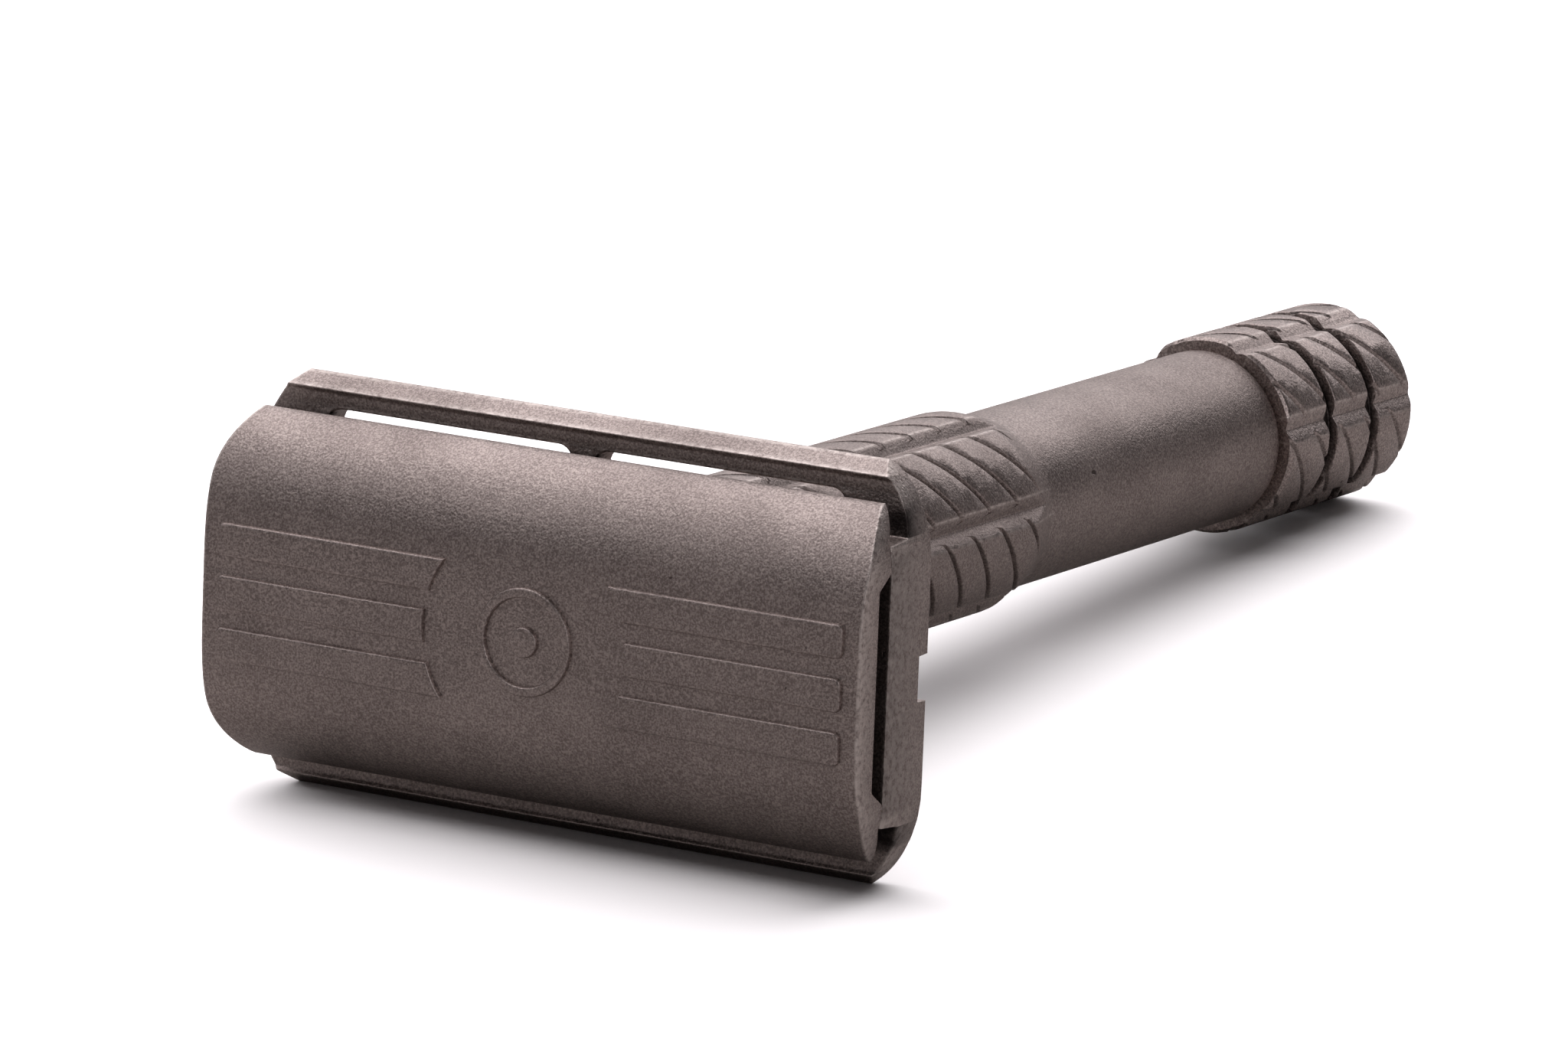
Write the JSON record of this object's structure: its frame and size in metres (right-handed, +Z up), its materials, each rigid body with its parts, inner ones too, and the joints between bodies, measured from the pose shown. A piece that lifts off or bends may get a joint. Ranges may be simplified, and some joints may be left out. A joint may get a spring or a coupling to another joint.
{
  "type": "safety razor",
  "caption": "Double-edge safety razor: domed cap on a guarded base plate, screwed by a threaded stud into a fluted steel handle with a grooved end knob.",
  "frame": {"origin": "centre of the bounding box's underside, on the surface the razor lies on", "axes": "+Z up; X along the head's long edges; the cap faces -Y and tilts up a little; the handle runs toward +Y and down to its end knob"},
  "size_m": [0.043, 0.0942, 0.0238],
  "materials": {
    "cap": "bead-blasted, fine matt grain, taupe grey",
    "cap_stud": "turned, machined thread, low sheen",
    "pin_left": "turned and polished pin",
    "pin_right": "turned and polished pin",
    "base_plate": "bead-blasted, fine matt grain, taupe grey",
    "handle_body": "bead-blasted, fine matt grain, taupe grey",
    "thread_insert": "turned, cut thread, low sheen",
    "tail_bush": "turned, low sheen",
    "knob_joint": "turned and grooved, low sheen",
    "end_knob": "bead-blasted, slightly worn to a low sheen"
  },
  "bodies": {
    "handle": {"handle_body": "handle_body", "thread_insert": "thread_insert", "tail_bush": "tail_bush", "knob_joint": "knob_joint", "end_knob": "end_knob"},
    "plate": {"base_plate": "base_plate"},
    "cap_set": {"cap": "cap", "cap_stud": "cap_stud", "pin_left": "pin_left", "pin_right": "pin_right"}
  },
  "joints": [
    {"name": "head_unscrew", "type": "hinge", "parent": "handle", "child": "plate", "pos_m": [0, -0.03925, 0.01186], "axis": [0, -0.9977, 0.0673], "range_deg": [0, 3240]},
    {"name": "cap_lift", "type": "slide", "parent": "plate", "child": "cap_set", "axis": [0, -0.9977, 0.0673], "range_m": [0, 0.00721]}
  ],
  "couplings": [
    {"joint": "cap_lift", "follows": "head_unscrew", "m_per_rad": 0.00012732}
  ]
}
